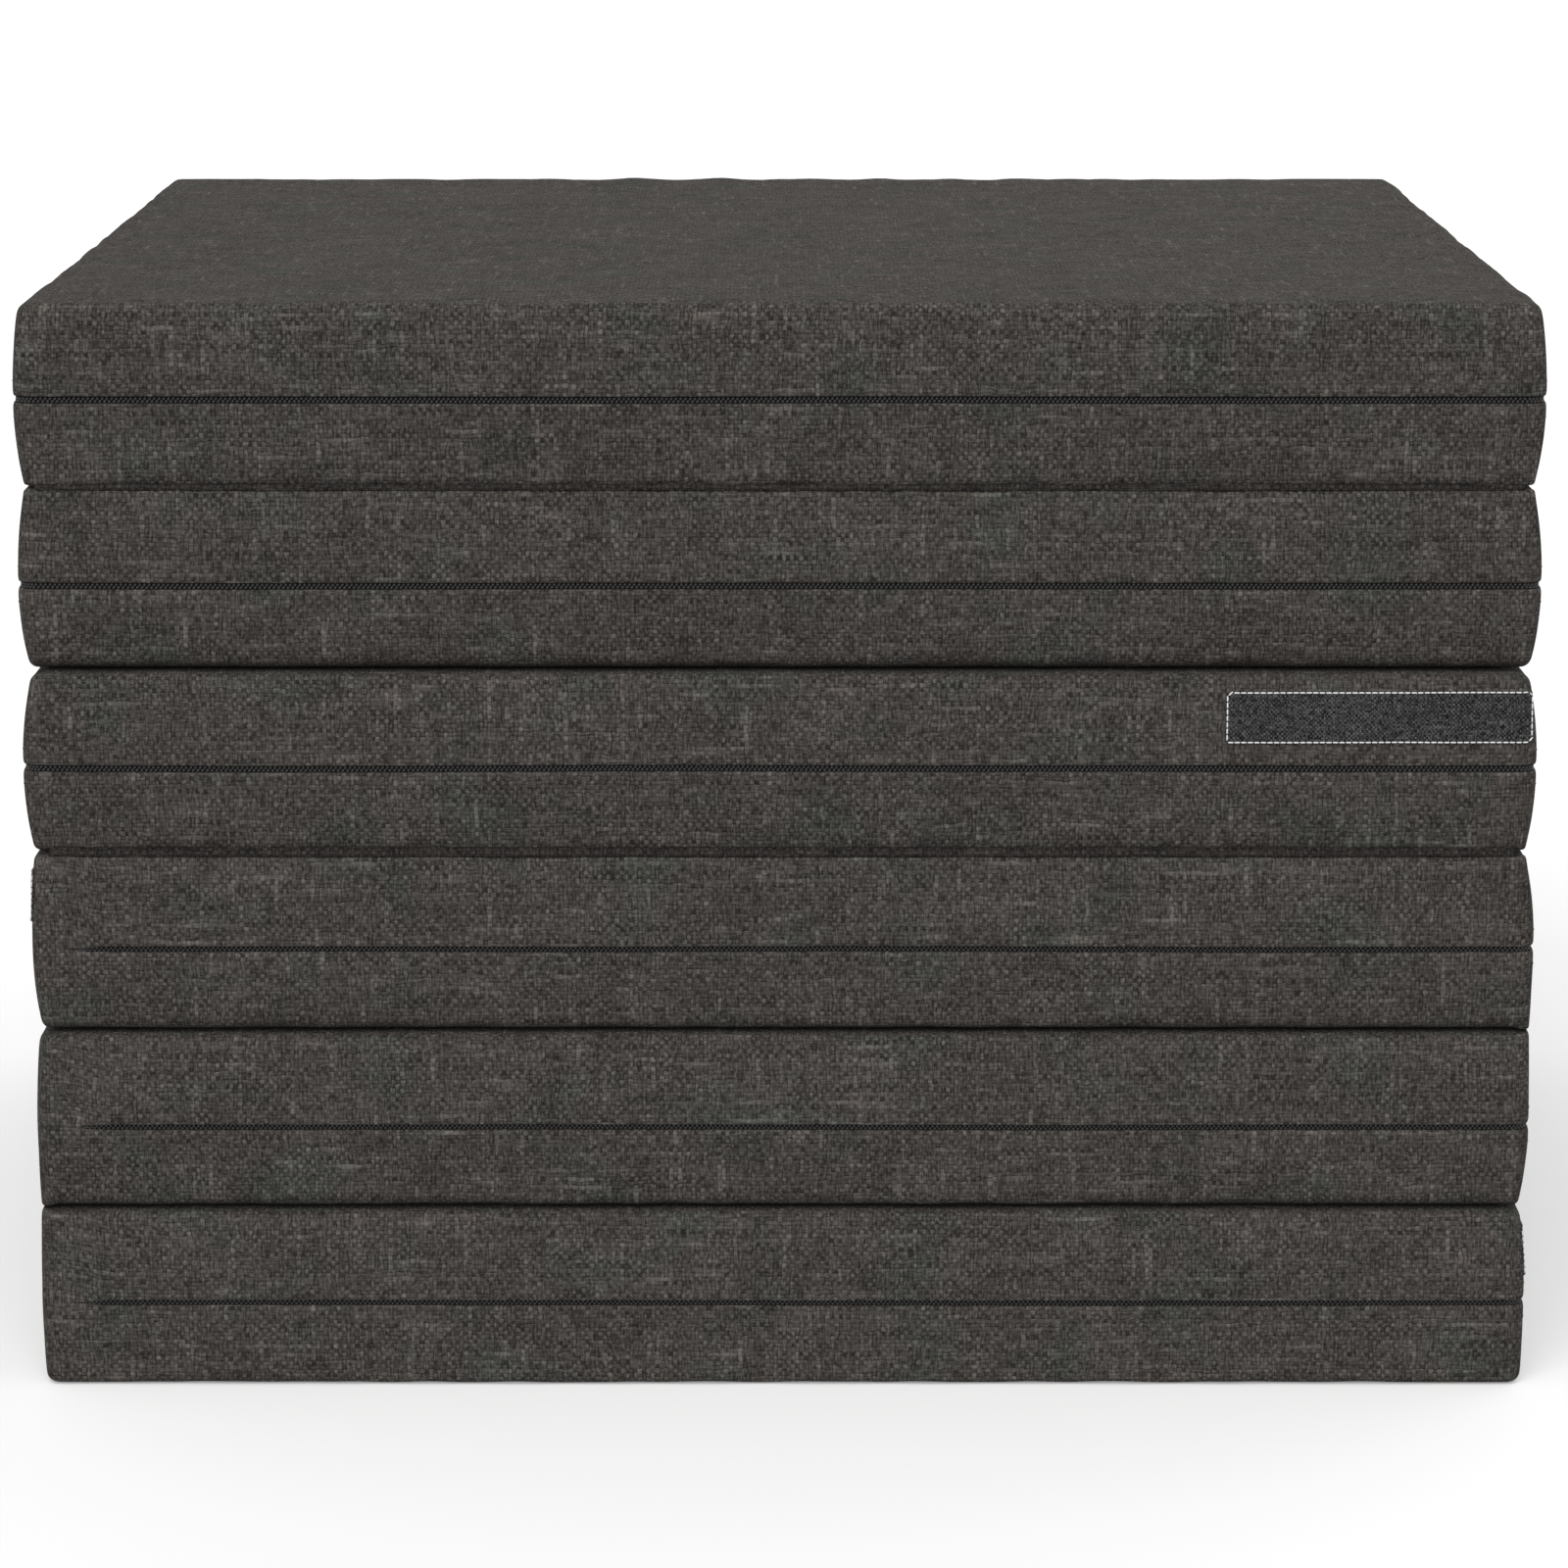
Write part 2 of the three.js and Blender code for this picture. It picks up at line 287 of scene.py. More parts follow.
def woven(name, pitch, dark, light, weave, sheen, roughness, patch=None):
    """Plain weave in UV metres: every crossing and every thread has its own tone, with fibres and slubs.

    weave holds the strengths. cross, tone, fibre, slub and cloud are those of the tones at a crossing, along
    a thread, in its fibres, in its thick places and over a hand's width. gap is that of the painted
    shade between threads, with a slight painted highlight on their crowns, warp upright against level
    threads, run the thread tones' frequency, jitter that of the threads' places, relief the bump's and skew
    that of the tones towards dark. patch is a colour that tints some areas."""
    n = Nodes(name)
    uv = n.add("ShaderNodeTexCoord").outputs["UV"]
    # thread coordinates: one thread to a unit, wandering slowly and jittering from thread to thread
    wander = n.times(n.centred(n.noise(n.scaled(uv, (28, 28, 1)))), 1.4)
    u, v = n.split(n.scaled(uv, (1 / pitch, 1 / pitch, 1)))
    u = n.plus(u, wander)
    v = n.plus(v, n.times(wander, 0.7))
    at = n.join(n.times(u, 0.55), n.times(v, 0.4))
    shake = n.add("ShaderNodeTexNoise", {"Vector": at, "Scale": 1.0, "Detail": 1.0})
    ju, jv = n.split(shake.outputs["Color"])
    u = n.plus(u, n.times(n.centred(ju), weave["jitter"]))
    v = n.plus(v, n.times(n.centred(jv), weave["jitter"]))
    warp, weft = n.math("FLOOR", u), n.math("FLOOR", v)
    over = n.math("MODULO", n.math("ABSOLUTE", n.plus(warp, weft)), 2.0)

    def either(a, b):
        """a where the upright thread is on top, b where the level one is."""
        return n.plus(b, n.times(over, n.minus(a, b)))

    # tones
    white = n.add("ShaderNodeTexWhiteNoise", {"Vector": n.join(warp, weft)}, noise_dimensions="2D")
    warp_tone = n.noise(n.join(n.times(warp, 7.31), n.times(v, weave["run"])), rough=0.6)
    weft_tone = n.noise(n.join(n.times(u, weave["run"]), n.times(weft, 5.77), 3.7), rough=0.6)
    warp_fibre = n.noise(n.join(n.times(u, 2.3), n.times(v, 0.42)), rough=0.7)
    weft_fibre = n.noise(n.join(n.times(u, 0.36), n.times(v, 2.3), 7.9), rough=0.7)
    thick_weft = n.noise(n.join(n.times(u, 0.06), n.times(weft, 9.77), 12.1), rough=0.6)
    slub = n.plus(n.ramp(thick_weft, 0.58, 0.78), n.ramp(warp_tone, 0.6, 0.8))
    cloud = n.noise(n.scaled(uv, (30, 22, 1)), detail=3.0, rough=0.6)
    level = n.times(n.centred(white.outputs["Value"]), weave["cross"])
    level = n.plus(level, n.times(n.centred(either(warp_tone, weft_tone)), weave["tone"]))
    level = n.plus(level, n.times(n.centred(warp_fibre), weave["fibre"]))
    level = n.plus(level, n.times(n.centred(weft_fibre), 0.6 * weave["fibre"]))
    level = n.plus(level, n.times(slub, weave["slub"]))
    level = n.plus(level, n.times(n.centred(over), weave["warp"]))
    level = n.plus(level, n.times(n.centred(cloud), weave["cloud"]))
    level = n.plus(level, 0.5 - 0.1 * weave["slub"], clamp=True)
    level = n.power(level, weave["skew"])
    # each thread is round across its width and dips at its ends
    across_warp = n.math("ABSOLUTE", n.centred(n.math("FRACT", u)))
    across_weft = n.math("ABSOLUTE", n.centred(n.math("FRACT", v)))
    across, along = either(across_warp, across_weft), either(across_weft, across_warp)
    height = n.minus(1.0, n.times(n.power(n.times(across, 2.0), 2.0), 0.8))
    height = n.minus(height, n.times(n.power(n.times(along, 2.0), 3.0), 0.4))
    # painted shade between the threads and a slight painted highlight on their crowns
    gap = n.ramp(height, 0.0, 0.8, 1 - weave["gap"], 1.0 + 0.25 * weave["gap"])
    colour = n.mix(level, (*dark, 1), (*light, 1))
    if patch:
        moved = n.add("ShaderNodeVectorMath", {0: uv, 1: (3.1, 1.7, 0)}, operation="ADD").outputs[0]
        where = n.ramp(n.noise(moved, 26.0), 0.5, 0.64)
        colour = n.mix(where, colour, n.mix(1.0, colour, (*patch, 1), "MULTIPLY"))
    colour = n.mix(1.0, colour, n.join(gap, gap, gap), "MULTIPLY")
    n.link(colour, n.shader.inputs["Base Color"])
    n.shader.inputs["Sheen Weight"].default_value = sheen
    n.shader.inputs["Sheen Roughness"].default_value = 0.5
    n.shader.inputs["Sheen Tint"].default_value = (0.75, 0.73, 0.7, 1)
    n.shader.inputs["Specular IOR Level"].default_value = 0.04
    rough = n.ramp(level, 0, 1, roughness - 0.08, min(1.0, roughness + 0.06))
    n.link(rough, n.shader.inputs["Roughness"])
    relief = n.plus(height, n.times(level, 0.8))
    n.link(n.bump(relief, 0.6, pitch * weave["relief"]), n.shader.inputs["Normal"])
    return n.material


def plain(name, colour, roughness, speckle=0.15, scale=900.0, metallic=0.0, relief=0.08 * MM):
    """A fine-grained finish in the piece's own coordinates."""
    n = Nodes(name)
    grain = n.noise(n.add("ShaderNodeTexCoord").outputs["Object"], scale, 3.0, 0.6)
    dark = tuple(c * (1 - speckle) for c in colour)
    light = tuple(min(1.0, c * (1 + speckle)) for c in colour)
    n.link(n.mix(grain, (*dark, 1), (*light, 1)), n.shader.inputs["Base Color"])
    rough = n.ramp(grain, 0, 1, roughness - 0.07, min(1.0, roughness + 0.07))
    n.link(rough, n.shader.inputs["Roughness"])
    n.shader.inputs["Metallic"].default_value = metallic
    n.link(n.bump(grain, 0.5, relief), n.shader.inputs["Normal"])
    return n.material


# ---------------------------------------------------------------- a panel's cover
def lines(low, high):
    """Grid lines from low to high, closer together at both ends."""
    ends = np.array([0, 2.3, 5.0, 8.0]) * MM
    count = max(2, round((high - low - 2 * ends[-1]) / GRID_STEP))
    middle = np.linspace(low + ends[-1], high - ends[-1], count + 1)[1:-1]
    return np.concatenate([low + ends, middle, high - ends[::-1]])


def smooth(t):
    t = np.clip(t, 0, 1)
    return t * t * (3 - 2 * t)


def wave(points, wavelength, seed):
    """Smooth repeatable noise from -1 to 1 at each point."""
    return np.array([noise.noise(Vector(p / wavelength + seed * 11.7)) for p in points])


def unit(v):
    return v / np.linalg.norm(v, axis=-1, keepdims=True)


class Cover:
    """The cover of one panel: a closed mesh with a slot for the zip.

    Its wall is a stack of rings, from the lower edge up to the upper one. A grid closes it at each end."""

    def __init__(self, number):
        self.number = number
        self.upper = number >= FIRST_UPPER
        low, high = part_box(f"panel_{number}_cover_lower")
        self.x0, self.x1, self.y0, self.y1 = low.x, high.x, low.y, high.y
        self.x0 += -DRIFT if self.upper else DRIFT
        self.x1 -= DRIFT if self.upper else 0.0
        self.z0, self.z1 = low.z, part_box(f"panel_{number}_cover_upper")[1].z
        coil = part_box(f"panel_{number}_zip_coil")
        self.zip = (coil[0].z + coil[1].z) / 2
        self.zip_half = ZIP_HALF_UPPER if self.upper else ZIP_HALF_LOWER
        self.build()

    def side_values(self, table):
        """Left, right, front and back values in mm, blended round the corners, at each point of a ring."""
        x, y = self.normals.T
        share = np.stack([np.clip(part, 0, None) for part in (-x, x, -y, y)], 1)
        return share ** 2 @ np.array(table) * MM

    def zip_share(self, points):
        """1 where the zip's slot is open, 0 where the cover is whole."""
        if self.upper:
            return 1 - smooth((points[:, 1] - (self.y1 - UPPER_ZIP_END)) / UPPER_ZIP_FADE)
        return smooth((points[:, 0] - (self.x0 + LOWER_ZIP_START)) / LOWER_ZIP_FADE)

    def perimeter(self):
        """The grid's border, anticlockwise from its first corner."""
        nx, ny = len(self.xs), len(self.ys)
        bottom = [(i, 0) for i in range(nx - 1)]
        right = [(nx - 1, j) for j in range(ny - 1)]
        top = [(i, ny - 1) for i in range(nx - 1, 0, -1)]
        left = [(0, j) for j in range(ny - 1, 0, -1)]
        return bottom + right + top + left

    def outline(self, xy):
        """Rectangle points moved onto the rounded plan outline, with outward normals."""
        low = np.array([self.x0, self.y0]) + CORNER
        high = np.array([self.x1, self.y1]) - CORNER
        inner = np.clip(xy, low, high)
        d = xy - inner
        normals = unit(d)
        return inner + normals * np.abs(d).max(1, keepdims=True), normals

    def build(self):
        self.xs, self.ys = lines(self.x0, self.x1), lines(self.y0, self.y1)
        self.border = self.perimeter()
        self.base, self.normals = self.outline(np.array([(self.xs[i], self.ys[j]) for i, j in self.border]))
        self.count = len(self.base)
        step = np.linalg.norm(np.roll(self.base, -1, 0) - self.base, axis=1)
        self.arc = np.concatenate([[0], np.cumsum(step)])
        x, y = self.base.T
        to_corner = np.maximum(np.minimum(x - self.x0, self.x1 - x), np.minimum(y - self.y0, self.y1 - y))
        self.slack = 0.15 + 0.85 * smooth((to_corner - CORNER) / (55 * MM))
        self.share = self.zip_share(self.base)
        self.middle = self.zip + ZIP_WANDER * wave(np.c_[self.base, np.zeros(self.count)], 0.16, self.number)
        rows = self.wall_rows()
        self.rows = len(rows)
        points, pins = [], []
        for height, inset, hold in rows:
            ring = self.base - self.normals * np.asarray(inset)[:, None]
            points.append(np.c_[ring, np.broadcast_to(height, self.count)])
            pins.append(np.full(self.count, hold))
        self.points, self.pins = np.concatenate(points), np.concatenate(pins)
        self.faces, self.coords = [], []
        self.wall_faces()
        self.cap(0, BOTTOM_EDGE[self.number])
        self.cap(1, TOP_EDGE[self.number])

    def wall_rows(self):
        """The wall's rings as heights, insets from the plan outline and how firmly each is held."""
        half = self.zip_half * self.share + SLOT_CLOSED * (1 - self.share)
        deep, lip, none = ZIP_DEEP * self.share, LIP_INSET * self.share, 0 * self.share
        under, over = self.middle - half - LIP_MARGIN, self.middle + half + LIP_MARGIN
        pull, rounding, lift = self.edge(BOTTOM_EDGE[self.number], 0)
        floor = self.z0 + lift
        rows = [self.rim(floor, pull, rounding, degrees) for degrees in reversed(RIM_ANGLES)]
        for t in reversed(WALL_STEPS):
            rows.append((under + (floor + rounding - under) * t, pull * t ** 2, 0.0))
        rows.append((under, none, LIP_HOLD))
        rows.append((self.middle - half, lip, 1.0))
        rows.append((self.middle - 0.92 * half, deep, 1.0))
        rows.append((self.middle + 0.92 * half, deep, 1.0))
        rows.append((self.middle + half, lip, 1.0))
        rows.append((over, none, LIP_HOLD))
        pull, rounding, lift = self.edge(TOP_EDGE[self.number], 1)
        ceiling = self.z1 - lift
        for t in WALL_STEPS:
            rows.append((over + (ceiling - rounding - over) * t, pull * t ** 2, 0.0))
        rows += [self.rim(ceiling, pull, -rounding, degrees) for degrees in RIM_ANGLES]
        return rows

    def edge(self, tables, level):
        """An edge's pull, rounding and lift at each point of a ring."""
        pull, rounding, lift = (self.side_values(table) for table in tables)
        return self.pucker(pull, self.number - 1 + level, level), rounding, lift

    def rim(self, height, pull, rounding, degrees):
        """A ring of the rounded edge, which curves up from this height, or down if rounding is negative."""
        a = math.radians(degrees)
        return height + rounding * (1 - math.sin(a)), pull + np.abs(rounding) * (1 - math.cos(a)), 0.0

    def pucker(self, pull, boundary, level):
        """A pull made slightly uneven along its edge, most of all at the top right."""
        at = np.c_[self.base, np.full(self.count, level * 3.3)]
        small = wave(at, 0.035, boundary * 5 + level + 1)
        large = wave(at, 0.11, boundary * 7 + level + 2)
        right = np.clip(self.normals[:, 0], 0, None) * (1.0 if boundary == PANELS[-1] else 0.25)
        extra = (0.35 * large + small * (0.15 + 0.85 * right)) * MM
        fold = self.side_values([1 if FOLD_SIDE.get(boundary) == side else 0 for side in SIDES]) / MM
        return np.clip(pull + extra * (1 - 0.75 * fold), 0.1 * MM, None)

    def wall_faces(self):
        """Joins the rings. Texture coordinates run round the panel and up the wall, in metres."""
        rings = self.points.reshape(self.rows, self.count, 3)
        climb = np.linalg.norm(np.diff(rings, axis=0), axis=2)
        travel = np.cumsum(np.vstack([np.zeros(self.count), climb]), axis=0)
        around = self.arc + self.number * 0.731
        for r in range(self.rows - 1):
            for c in range(self.count):
                d = (c + 1) % self.count
                a, b = r * self.count, (r + 1) * self.count
                self.faces.append((a + c, a + d, b + d, b + c))
                self.coords.append([(around[c], travel[r, c]), (around[c + 1], travel[r, d]),
                                    (around[c + 1], travel[r + 1, d]), (around[c], travel[r + 1, c])])

    def cap(self, level, tables):
        """The large lower (0) or upper (1) face: a grid whose border is the wall's last ring."""
        nx, ny = len(self.xs), len(self.ys)
        row = level * (self.rows - 1)
        index = -np.ones((nx, ny), int)
        for k, (i, j) in enumerate(self.border):
            index[i, j] = row * self.count + k
        inside = [(i, j) for i in range(1, nx - 1) for j in range(1, ny - 1)]
        for k, (i, j) in enumerate(inside):
            index[i, j] = len(self.points) + k
        x, y = np.array([(self.xs[i], self.ys[j]) for i, j in inside]).T
        left, right, front, back = (np.array(tables[0]) + np.array(tables[1])) * MM
        moved_x = x + left * self.near(x - self.x0) - right * self.near(self.x1 - x)
        moved_y = y + front * self.near(y - self.y0) - back * self.near(self.y1 - y)
        z = self.z1 if level else self.z0
        self.points = np.vstack([self.points, np.c_[moved_x, moved_y, np.full(len(x), z)]])
        self.pins = np.concatenate([self.pins, np.full(len(x), FOAM_HOLD)])
        shift = (self.number * 1.462, level * 1.3)
        for i in range(nx - 1):
            for j in range(ny - 1):
                quad = [index[i, j], index[i + 1, j], index[i + 1, j + 1], index[i, j + 1]]
                quad = quad if level else quad[::-1]
                self.faces.append(tuple(quad))
                places = [self.points[q] for q in quad]
                self.coords.append([(at[0] + shift[0], at[1] + shift[1]) for at in places])

    def near(self, distance):
        """1 at an edge, fading to 0 inside."""
        return 1 - smooth(distance / CAP_FADE)

    def at_arc(self, s):
        """Plan points, outward normals, zip heights and zip shares at these distances round the panel."""
        s = np.mod(s, self.arc[-1])

        def along(values):
            return np.interp(s, self.arc, np.append(values, values[0]))

        points = np.c_[along(self.base[:, 0]), along(self.base[:, 1])]
        normals = unit(np.c_[along(self.normals[:, 0]), along(self.normals[:, 1])])
        return points, normals, along(self.middle), along(self.share)

    def touch(self, at, normal, z):
        """The point of the finished cover straight in from outside, and its normal."""
        start = Vector((at[0] + normal[0] * 0.02, at[1] + normal[1] * 0.02, z))
        hit, facing, _, _ = self.tree.ray_cast(start, Vector((-normal[0], -normal[1], 0)))
        if hit is None:
            return np.array([at[0], at[1], z]), np.array([normal[0], normal[1], 0.0])
        return np.array(hit), np.array(facing)

    def mesh(self):
        mesh = bpy.data.meshes.new(f"panel_{self.number}_cover")
        mesh.from_pydata([tuple(p) for p in self.points], [], self.faces)
        layer = mesh.uv_layers.new(name="UVMap")
        flat = np.array([uv for face in self.coords for uv in face]).reshape(-1)
        layer.data.foreach_set("uv", flat.astype(np.float32))
        mesh.validate()
        return mesh

    def simulate(self, obj):
        """Blows the cover up a little against its pinned zip, so that it drapes and puckers."""
        group = obj.vertex_groups.new(name="pin")
        for index, weight in enumerate(self.pins):
            if weight > 0:
                group.add([index], float(weight), "REPLACE")
        cloth = obj.modifiers.new("cloth", "CLOTH")
        s = cloth.settings
        s.quality = 4
        s.mass = 0.25
        s.tension_stiffness = 12
        s.compression_stiffness = 12
        s.shear_stiffness = 4
        s.bending_stiffness = 0.4
        s.use_pressure = True
        s.uniform_pressure_force = PRESSURE
        s.shrink_min = -0.012
        s.vertex_group_mass = "pin"
        s.effector_weights.gravity = 0
        cloth.collision_settings.use_collision = False
        cloth.point_cache.frame_start, cloth.point_cache.frame_end = 1, SIM_FRAMES
        for step in range(1, SIM_FRAMES + 1):
            bpy.context.scene.frame_set(step)
        done = obj.evaluated_get(bpy.context.evaluated_depsgraph_get()).data
        moved = np.zeros(len(done.vertices) * 3)
        done.vertices.foreach_get("co", moved)
        obj.modifiers.remove(cloth)
        obj.vertex_groups.clear()
        bpy.context.scene.frame_set(1)
        return moved.reshape(-1, 3)

    def settle(self, moved):
        """The simulated shape. A row of the wall keeps its designed place on average, and the unevenness that
        the simulation gave it. Stacked faces stay in their slab, and the top one crowns."""
        wall = self.rows * self.count
        d = moved - self.points
        rows = d[:wall].reshape(self.rows, self.count, 3)
        outward = (rows[:, :, :2] * self.normals).sum(2)
        outward = outward - np.median(outward, axis=1, keepdims=True)
        outward = WRINKLE * np.tanh(outward / WRINKLE) * self.slack
        upward = rows[:, :, 2] - np.median(rows[:, :, 2], axis=1, keepdims=True)
        upward = 0.35 * WRINKLE * np.tanh(upward / WRINKLE) * self.slack
        made = self.points.copy()
        rings = made[:wall].reshape(self.rows, self.count, 3)
        inset = ((self.base[None] - rings[:, :, :2]) * self.normals).sum(2)
        outward = np.minimum(outward, inset + 0.15 * MM)
        rings[:, :, :2] += outward[:, :, None] * self.normals
        rings[:, :, 2] += upward
        crown = CROWN if self.number == PANELS[-1] else STACKED_CROWN
        made[wall:, 2] += crown * np.tanh(d[wall:, 2] / max(crown, 1 * MM))
        sag = 0 if self.number == PANELS[0] else STACKED_CROWN
        made[:, 2] = np.clip(made[:, 2], self.z0 - sag, self.z1 + crown)
        return made

    def crease_lips(self, mesh):
        """Keeps the slot's lips crisp when the mesh is subdivided."""
        chosen = set()
        for r in LIP_ROWS:
            for c in range(self.count):
                a, b = r * self.count + c, r * self.count + (c + 1) % self.count
                chosen.add((min(a, b), max(a, b)))
        values = np.zeros(len(mesh.edges), np.float32)
        for e in mesh.edges:
            if (min(e.vertices), max(e.vertices)) in chosen:
                values[e.index] = LIP_CREASE
        mesh.attributes.new("crease_edge", "FLOAT", "EDGE").data.foreach_set("value", values)


def make_cover(number, material):
    cover = Cover(number)
    obj = bpy.data.objects.new(f"panel_{number}_cover", cover.mesh())
    bpy.context.collection.objects.link(obj)
    points = cover.settle(cover.simulate(obj))
    obj.data.vertices.foreach_set("co", points.reshape(-1).astype(np.float32))
    obj.data.polygons.foreach_set("use_smooth", [True] * len(obj.data.polygons))
    cover.crease_lips(obj.data)
    sub = obj.modifiers.new("sub", "SUBSURF")
    sub.levels = 1
    graph = bpy.context.evaluated_depsgraph_get()
    finer = obj.evaluated_get(graph)
    final = bpy.data.meshes.new_from_object(finer, preserve_all_data_layers=True, depsgraph=graph)
    obj.modifiers.clear()
    obj.data = final
    final.materials.clear()
    final.materials.append(material)
    body = f"panel_{number}"
    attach(obj, body)
    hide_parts(f"{body}_cover_lower", f"{body}_cover_upper", f"{body}_foam_core")
    corners = [v.co.copy() for v in final.vertices]
    cover.tree = BVHTree.FromPolygons(corners, [tuple(p.vertices) for p in final.polygons])
    return cover


# ---------------------------------------------------------------- small sewn and zip pieces
def new_piece(name, points, faces, material, body, slot, uvs=None, smooth_faces=True):
    mesh = bpy.data.meshes.new(name)
    mesh.from_pydata([tuple(p) for p in points], [], faces)
    if uvs is not None:
        layer = mesh.uv_layers.new(name="UVMap")
        loops = np.zeros(len(mesh.loops), int)
        mesh.loops.foreach_get("vertex_index", loops)
        layer.data.foreach_set("uv", np.asarray(uvs, np.float32)[loops].reshape(-1))
    mesh.polygons.foreach_set("use_smooth", [smooth_faces] * len(mesh.polygons))
    mesh.materials.append(material)
    obj = bpy.data.objects.new(name, mesh)
    bpy.context.collection.objects.link(obj)
    if body:
        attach(obj, body)
    return obj


def face_out(piece):
    """Turns every face of a closed mesh outwards."""
    work = bmesh.new()
    work.from_mesh(piece.data)
    bmesh.ops.recalc_face_normals(work, faces=work.faces)
    work.to_mesh(piece.data)
    work.free()


def put_together(parts):
    """Several (points, faces) as one."""
    points, faces, start = [], [], 0
    for some, joined in parts:
        points.append(some)
        faces += [tuple(i + start for i in face) for face in joined]
        start += len(some)
    return np.concatenate(points), faces


def band(rings, sides):
    """The faces between rings of points that follow each other."""
    faces = []
    for a, b in rings:
        for k in range(sides):
            m = (k + 1) % sides
            faces.append((a * sides + k, a * sides + m, b * sides + m, b * sides + k))
    return faces


def ends(rings, sides):
    """The faces that close a stack of rings."""
    first = (rings - 1) * sides
    return [tuple(range(sides))[::-1], tuple(range(first, first + sides))]


def stacked(rings):
    return [(r, r + 1) for r in range(rings - 1)]


CAPSULE_RINGS = ((-0.5, 0.42), (-0.34, 0.92), (0.0, 1.0), (0.34, 0.92), (0.5, 0.42))   # place along, width


def capsules(centres, along, across, out, size, sides=6):
    """One small capsule of this length, width and thickness at each centre: threads and zip teeth."""
    length, width, thick = size
    turn = np.arange(sides) / sides * 2 * math.pi
    ring = np.concatenate([
        np.c_[np.full(sides, a * length), r * np.cos(turn) * width / 2, r * np.sin(turn) * thick / 2]
        for a, r in CAPSULE_RINGS
    ])
    points = (centres[:, None, :] + ring[None, :, :1] * along[:, None, :]
              + ring[None, :, 1:2] * across[:, None, :] + ring[None, :, 2:3] * out[:, None, :])
    one = band(stacked(len(CAPSULE_RINGS)), sides) + ends(len(CAPSULE_RINGS), sides)
    return put_together([(each, one) for each in points])


def zip_tape(cover, material):
    """The tape at the bottom of the slot, as a thin band. Returns where it starts and ends."""
    body = f"panel_{cover.number}"
    s = np.arange(0, cover.arc[-1], 4 * MM)
    share = cover.at_arc(s)[3]
    # start where the cover is whole, so that the band runs in one piece
    start = int(np.argmin(share))
    s = np.concatenate([s[start:], s[:start] + cover.arc[-1]])
    share = np.roll(share, -start)
    s = s[share > 0.12]
    at, normal, middle, share = cover.at_arc(s)
    half = 0.96 * cover.zip_half * share
    points, uvs = [], []
    for lift, side in ((0.45 * MM, -1), (0.15 * MM, -1), (0.15 * MM, 1), (0.45 * MM, 1)):
        ring = at - normal * ((ZIP_DEEP - lift) * share)[:, None]
        points.append(np.c_[ring, middle + side * half])
        uvs.append(np.c_[s, side * half])
    points = np.stack(points, 1).reshape(-1, 3)
    uvs = np.stack(uvs, 1).reshape(-1, 2)
    faces = band(stacked(len(s)), 4) + ends(len(s), 4)
    tape = new_piece(f"{body}_tape", points, faces, material, body, "zip_tape", uvs, False)
    face_out(tape)
    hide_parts(f"{body}_zip_tape")
    return s[0], s[-1]


def zip_coil(cover, start, end, material):
    """The coil's two rows of teeth, half a tooth apart."""
    body = f"panel_{cover.number}"
    teeth = np.arange(start, end, TOOTH_PITCH)
    rows = []
    for row in (-1, 1):
        at, normal, middle, share = cover.at_arc(teeth + (TOOTH_PITCH / 2 if row > 0 else 0))
        keep = share > 0.3
        at, normal, middle, share = at[keep], normal[keep], middle[keep], share[keep]
        out = np.c_[normal, np.zeros(len(normal))]
        tangent = np.c_[-normal[:, 1], normal[:, 0], np.zeros(len(normal))]
        axis = unit(UP * math.cos(TOOTH_LEAN) + tangent * math.sin(TOOTH_LEAN))
        plan = at - normal * ((ZIP_DEEP - 0.75 * MM) * share)[:, None]
        centre = np.c_[plan, middle + row * 0.42 * cover.zip_half * share]
        size = (cover.zip_half, 1.45 * MM, 0.8 * MM)
        rows.append(capsules(centre, axis, np.cross(out, axis), out, size))
    coil = new_piece(f"{body}_coil", *put_together(rows), material, body, "zip_coil")
    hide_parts(f"{body}_zip_coil")


def topstitch(cover, material):
    """A row of stitches above and below the zip, lying on the cover."""
    body = f"panel_{cover.number}"
    at, normal, middle, share = cover.at_arc(np.arange(0, cover.arc[-1], STITCH_PITCH))
    rows = []
    for row in (-1, 1):
        centres, facing, tangents = [], [], []
        for k in np.flatnonzero(share >= 0.95):
            hit, out = cover.touch(at[k], normal[k], middle[k] + row * STITCH_OFF)
            centres.append(hit + out * 0.03 * MM)
            facing.append(out)
            tangents.append((-normal[k][1], normal[k][0], 0.0))
        facing, tangents = unit(np.array(facing)), np.array(tangents)
        across = unit(np.cross(facing, tangents))
        rows.append(capsules(np.array(centres), tangents, across, facing, STITCH_SIZE))
    new_piece(f"{body}_topstitch", *put_together(rows), material, body, "thread")


